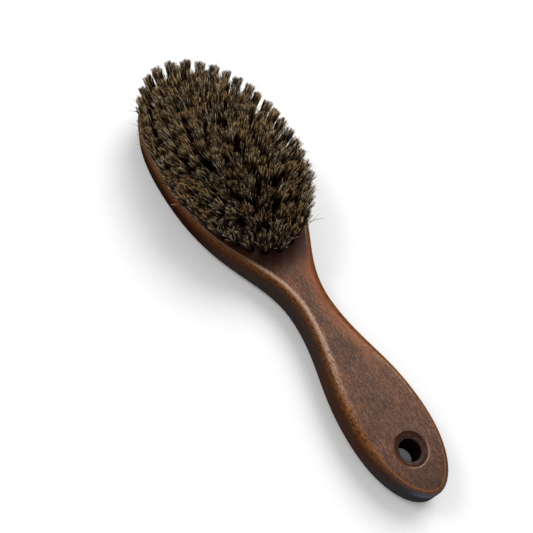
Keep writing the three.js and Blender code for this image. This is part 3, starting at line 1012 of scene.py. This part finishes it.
@dataclass
class Tuft:
    """The hairs of one tuft, whose methods draw in one order from a shared random source."""

    seat: TuftSeat
    habit: TuftHabit
    spread: float
    rng: np.random.Generator

    def _ends(self) -> tuple[Array, Array, Array]:
        """Where the hairs start and end.

        Returns:
            Each hair's root and tip across the tuft, in mm, and the number of its lock.
        """
        habit, rng = self.habit, self.rng
        turn = rng.uniform(0, 2 * math.pi, habit.hairs)
        out = rng.uniform(0, 1, habit.hairs) ** 0.6
        root = round_about(turn, habit.root_radius * out)
        own_tip = round_about(turn, self.spread * out)
        own_tip = own_tip + rng.normal(0, habit.tip_scatter, (habit.hairs, 2))
        lock_turn = rng.uniform(0, 2 * math.pi, habit.locks)
        lock_out = np.sqrt(rng.uniform(0, 1, habit.locks)) * self.spread
        lock_tip = round_about(lock_turn, lock_out)
        lock = np.linalg.norm(own_tip[:, None] - lock_tip[None], axis=2).argmin(1)
        pull = rng.uniform(*habit.lock_pull, habit.hairs)[:, None]
        return root, own_tip + (lock_tip[lock] - own_tip) * pull, lock

    def _lengths(self, lock: Array) -> Array:
        """How far the hairs stand out of the wood.

        Args:
            lock: The number of each hair's lock.

        Returns:
            Each hair's length above the wood, in mm.
        """
        habit, rng, full = self.habit, self.rng, self.seat.length / MM
        lock_length = rng.normal(0.1, 0.4 * habit.unevenness, habit.locks)[lock]
        length = full + lock_length + rng.normal(0, 0.35 * habit.unevenness, habit.hairs)
        short = rng.uniform(0, 1, habit.hairs) < habit.short_share
        length = np.where(short, length - rng.uniform(*habit.short_by, habit.hairs), length)
        return np.minimum(length, full + habit.longest_over)

    def _bends(self) -> tuple[Array, Array]:
        """How the tips are bent aside.

        Returns:
            Each hair's bend across the tuft, in mm, and whether it strays from the tuft.
        """
        habit, rng, count = self.habit, self.rng, self.habit.hairs
        turn = rng.uniform(0, 2 * math.pi, count)
        size = np.abs(rng.normal(0, 0.8, count)) * habit.unevenness
        chance = rng.uniform(0, 1, count)
        size = np.where(chance < habit.bent_share, size + rng.uniform(*habit.bent_by, count), size)
        size = np.where(chance < habit.wild_share, rng.uniform(*habit.wild_bend, count), size)
        bend = round_about(turn, size)
        across, beside, axis = self.seat.directions()
        outwards = np.array([across[:2] @ axis[:2], beside[:2] @ axis[:2]])
        outwards /= np.linalg.norm(outwards)
        share = habit.stray_share * rng.uniform(0, 1) ** 2
        share += habit.neck_stray_share * self.seat.towards_neck
        stray = (rng.uniform(0, 1, count) < share) & habit.has_strays
        pushed = outwards + rng.normal(0, 0.6, (count, 2))
        pushed = pushed * rng.uniform(*habit.stray_bend, (count, 1))
        return np.where(stray[:, None], bend + pushed, bend), stray

    def _leans(self, length: Array) -> tuple[Array, Array]:
        """How the tuft leans, and how far its tips are set upright.

        Args:
            length: Each hair's length above the wood, in mm.

        Returns:
            The common lean and each hair's way upright, across the tuft, in mm.
        """
        habit, seat = self.habit, self.seat
        across, beside, _ = seat.directions()
        lean = self.rng.normal(0, habit.lean_scatter, 2)
        lean = lean + habit.neck_lean * seat.towards_neck * np.array([across[0], beside[0]])
        share = np.interp(seat.mouth.x / MM, habit.straightened_at, habit.straightened_by)
        inwards = habit.near_straightening * share * max(0.0, seat.axis.y)
        inwards -= habit.far_straightening * max(0.0, -seat.axis.y - habit.upright_within)
        return lean, -inwards * length[:, None] * np.array([across[1], beside[1]])

    def _room(self, tips: Array) -> Array:
        """How far the hairs may be drawn out, so that their tips stay by the solids' box.

        Args:
            tips: The way from the tuft's mouth to each tip, in metres.

        Returns:
            The share of its way that each hair may go, 0 to 1.
        """
        low, high = (np.array(corner) for corner in CAD_BOX)
        mouth, margin = np.array(self.seat.mouth), self.habit.outer_margin * MM
        room = np.where(tips > 0, high + margin - mouth, mouth - low + margin)
        return np.clip(room / np.maximum(np.abs(tips), 1e-9), 0, 1).min(1)

    def _tones(self, lock: Array, stray: Array) -> tuple[Array, Array]:
        """The hairs' colouring, in which strays are fair.

        Args:
            lock: The number of each hair's lock.
            stray: Whether each hair strays from the tuft.

        Returns:
            Each hair's tone, 0 to 1, and whether it is of the golden kind.
        """
        rng, count = self.rng, self.habit.hairs
        lock_tone = rng.uniform(0, 1, self.habit.locks)[lock] + rng.normal(0, 0.06)
        tones = 0.24 * lock_tone + 0.76 * rng.beta(0.34, 0.78, count)
        tones = np.where(stray, rng.uniform(0.7, 0.97, count), tones)
        lock_gold = rng.uniform(0, 1, self.habit.locks)[lock]
        golden = 0.5 * rng.uniform(0, 1, count) + 0.5 * lock_gold < rng.uniform(0.24, 0.86)
        return np.clip(tones, 0.03, 0.97), golden

    def hairs(self, levels: Array) -> tuple[Array, Array, Array]:
        """The centre lines and the colouring of the tuft's hairs.

        Args:
            levels: How far up a hair each of its rings is, 0 to 1.

        Returns:
            The ring centres by hair and ring, in metres, each hair's tone, 0 to 1, and whether
            the hair is of the golden kind.
        """
        habit, (across, beside, axis) = self.habit, self.seat.directions()
        root, tip, lock = self._ends()
        length = self._lengths(lock)
        bend, stray = self._bends()
        lean, upright = self._leans(length)
        t = levels[None, :, None]
        opening = (tip - root)[:, None] * t**habit.opening_power
        side = root[:, None] + opening + bend[:, None] * t**habit.bending_power
        side = side + lean * t**habit.leaning_power + upright[:, None] * t
        rise = -habit.sunk + (length[:, None] + habit.sunk) * levels
        lines = side[..., :1] * across + side[..., 1:] * beside + rise[..., None] * axis
        lines = lines * MM
        lines = np.array(self.seat.mouth) + lines * self._room(lines[:, -1])[:, None, None]
        return lines, *self._tones(lock, stray)


@dataclass
class BristleField:
    """The tufts that stand in the back's holes."""

    seed: int = 20117
    hair_radius: float = 0.112
    border: TuftHabit = TuftHabit(
        hairs=210, neighbours=2, tip_scatter=0.3, unevenness=0.6, lean_scatter=0.25, fill=0.38,
        neck_fill=2.4, neck_lean=9.0, has_strays=True,
    )
    inner: TuftHabit = TuftHabit(
        hairs=200, neighbours=4, tip_scatter=0.42, unevenness=1.0, lean_scatter=0.75, fill=0.44,
        far_straightening=0.576,
    )
    finish: NaturalBristle = field(default_factory=NaturalBristle)

    def _tufts(self, seats: Sequence[TuftSeat]) -> list[Tuft]:
        """The tufts, opened so that their tips come near those of their neighbours.

        Args:
            seats: The tufts' places.

        Returns:
            One tuft for each seat.
        """
        rng = np.random.default_rng(self.seed)
        tips = np.array([seat.mouth + seat.axis * seat.length for seat in seats])
        border = np.array([seat.kind is TuftKind.BORDER for seat in seats])
        tufts = []
        for seat, tip, on_border in zip(seats, tips, border):
            habit = self.border if on_border else self.inner
            others = tips[border] if on_border else tips
            gaps = np.sort(np.linalg.norm(others - tip, axis=1))[1:1 + habit.neighbours]
            fill = habit.fill * (1.0 + habit.neck_fill * seat.towards_neck)
            tufts.append(Tuft(seat, habit, float(fill * gaps.mean() / MM), rng))
        return tufts

    def _piece(self, name: str, tufts: Sequence[Tuft], strand: Strand) -> Piece:
        """One piece of bristle: copies of the master hair laid along every hair's line.

        Args:
            name: The piece's name.
            tufts: The tufts that the piece has.
            strand: The master hair.

        Returns:
            The piece, undressed.
        """
        shape, places, codes = strand.shape, [], []
        for tuft in tufts:
            lines, tones, golden = tuft.hairs(np.array(strand.levels))
            across, beside, _ = tuft.seat.directions()
            twist = tuft.rng.uniform(0, 2 * math.pi, len(lines))
            thick = self.hair_radius * tuft.rng.uniform(0.75, 1.2, len(lines)) * MM
            thick *= 1.0 + 0.6 * tones
            cos, sin = np.cos(twist)[:, None], np.sin(twist)[:, None]
            x = (shape[:, 0] * cos - shape[:, 1] * sin) * thick[:, None]
            y = (shape[:, 0] * sin + shape[:, 1] * cos) * thick[:, None]
            hairs = lines[:, strand.ring] + x[..., None] * across + y[..., None] * beside
            places.append(hairs.reshape(-1, 3))
            codes.append(0.5 * tones + 0.5 * golden)
        return strand.piece(name, np.concatenate(places), np.concatenate(codes))

    def build(self, seats: Sequence[TuftSeat]) -> list[Piece]:
        """Makes one dressed piece for each bristle node.

        Args:
            seats: The tufts' places.

        Returns:
            The finished pieces.
        """
        strand = Strand()
        material = self.finish.material()
        tufts = self._tufts(seats)
        pieces = []
        for node in sorted({seat.node for seat in seats}):
            own = [tuft for tuft in tufts if tuft.seat.node == node]
            piece = self._piece(f"{node}_bristles", own, strand)
            piece.data.materials.append(material)
            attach(piece, BODY)
            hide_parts(node)
            pieces.append(piece)
        return pieces


# ---- The studio ----


@dataclass(frozen=True)
class Lamp:
    """A square lamp that faces the brush: its place in metres, its side and its power in watts."""

    name: str
    place: Triple
    size: float
    power: float

    def build(self) -> None:
        """Adds the lamp to the scene."""
        data = bpy.data.lights.new(self.name, "AREA")
        data.shape = "SQUARE"
        data.size = self.size
        data.energy = self.power
        lamp = bpy.data.objects.new(self.name, data)
        place = Vector(self.place)
        aim = (-place).to_track_quat("-Z", "Y")
        lamp.matrix_world = Matrix.Translation(place) @ aim.to_matrix().to_4x4()
        bpy.context.scene.collection.objects.link(lamp)


@dataclass
class Studio:
    """A pale floor, a soft key lamp, an even surround, and the camera; lengths in metres.

    What the camera sees of the floor glows a little, and fades into blank white further out.
    """

    camera_place: Triple = (-0.11546, 0.09468, 0.23637)
    camera_right: Triple = (-0.48785, -0.86821, 0.09061)
    camera_up: Triple = (0.76271, -0.37346, 0.52802)
    focal_length: float = 41.977
    sensor: float = 36.0
    key: Lamp = Lamp("key", (0.24, -0.56, 0.96), 0.66, 6.5)
    window: Lamp = Lamp("window", (0.4, 0.42, 0.82), 0.28, 1.9)
    surround: float = 0.5
    floor_size: float = 6.0
    floor_drop: float = 0.0002
    floor_glow: float = 0.05
    floor_fade: Pair = (0.19, 0.5)

    def camera(self) -> None:
        """Sets up the camera and makes it the scene's own."""
        right = Vector(self.camera_right).normalized()
        up = Vector(self.camera_up)
        up = (up - right * up.dot(right)).normalized()
        behind = right.cross(up)
        data = bpy.data.cameras.new("brush_camera")
        data.lens = self.focal_length
        data.sensor_width = self.sensor
        camera = bpy.data.objects.new("brush_camera", data)
        turned = Matrix((right, up, behind)).transposed().to_4x4()
        camera.matrix_world = Matrix.Translation(self.camera_place) @ turned
        bpy.context.scene.collection.objects.link(camera)
        bpy.context.scene.camera = camera

    def floor(self) -> None:
        """A wide pale floor that takes the brush's shadow."""
        deselect_all()
        bpy.ops.mesh.primitive_plane_add(size=self.floor_size, location=(0, 0, -self.floor_drop))
        floor = bpy.context.object
        floor.name = "floor"
        material, graph = new_material("pale_floor")
        shown = graph.node("LightPath", {}, {}, "Is Camera Ray")
        mirrored = graph.other(shown, "Is Glossy Ray")
        passed = graph.other(shown, "Is Transmission Ray")
        matte = graph.node("BsdfDiffuse", {}, {"Color": (0.5, 0.5, 0.5, 1)})
        pale = graph.node("BsdfDiffuse", {}, {"Color": WHITE})
        place = graph.node("TexCoord", {}, {}, "Object")
        away = graph.node("VectorMath", {"operation": "LENGTH"}, {0: place}, "Value")
        glow, blank = (
            graph.node("Emission", {}, {"Color": WHITE, "Strength": strength})
            for strength in (self.floor_glow, 1.0)
        )
        lifted = graph.node("AddShader", {}, {0: pale, 1: glow})
        fade = away.ramp(*self.floor_fade)
        faded = graph.node("MixShader", {}, {0: fade, 1: lifted, 2: blank})
        surface = graph.node("MixShader", {}, {0: shown + mirrored + passed, 1: matte, 2: faded})
        graph.node("OutputMaterial", {}, {"Surface": surface})
        floor.data.materials.append(material)

    def surroundings(self) -> None:
        """The even light from all round, which the camera sees as white."""
        world = bpy.data.worlds.new("surround")
        world.use_nodes = True
        bpy.context.scene.world = world
        graph = Graph(world.node_tree)
        shown = graph.node("LightPath", {}, {}, "Is Camera Ray")
        strength = self.surround + shown * (1.0 - self.surround)
        sky = graph.node("Background", {}, {"Color": WHITE, "Strength": strength})
        graph.node("OutputWorld", {}, {"Surface": sky})

    def build(self) -> None:
        """Sets up the whole studio."""
        self.camera()
        self.floor()
        self.key.build()
        self.window.build()
        self.surroundings()
        bpy.context.scene.view_settings.view_transform = "Standard"


def report(pieces: Sequence[Piece]) -> None:
    """Logs each piece with its number of triangles.

    Args:
        pieces: The dressed pieces.
    """
    for piece in pieces:
        triangles = sum(len(p.vertices) - 2 for p in piece.data.polygons)
        log.info("%s: %d triangles", piece.name, triangles)


def main() -> None:
    """Builds the studio and the brush, and reports each piece."""
    logging.basicConfig(level=logging.INFO, format="%(name)s: %(message)s")
    Studio().build()
    back = BrushBack()
    seats = read_seats(back)
    log.info("%d tufts", len(seats))
    pieces = [back.build(seats), *BristleField().build(seats)]
    report(pieces)


if __name__ == "__main__":
    main()
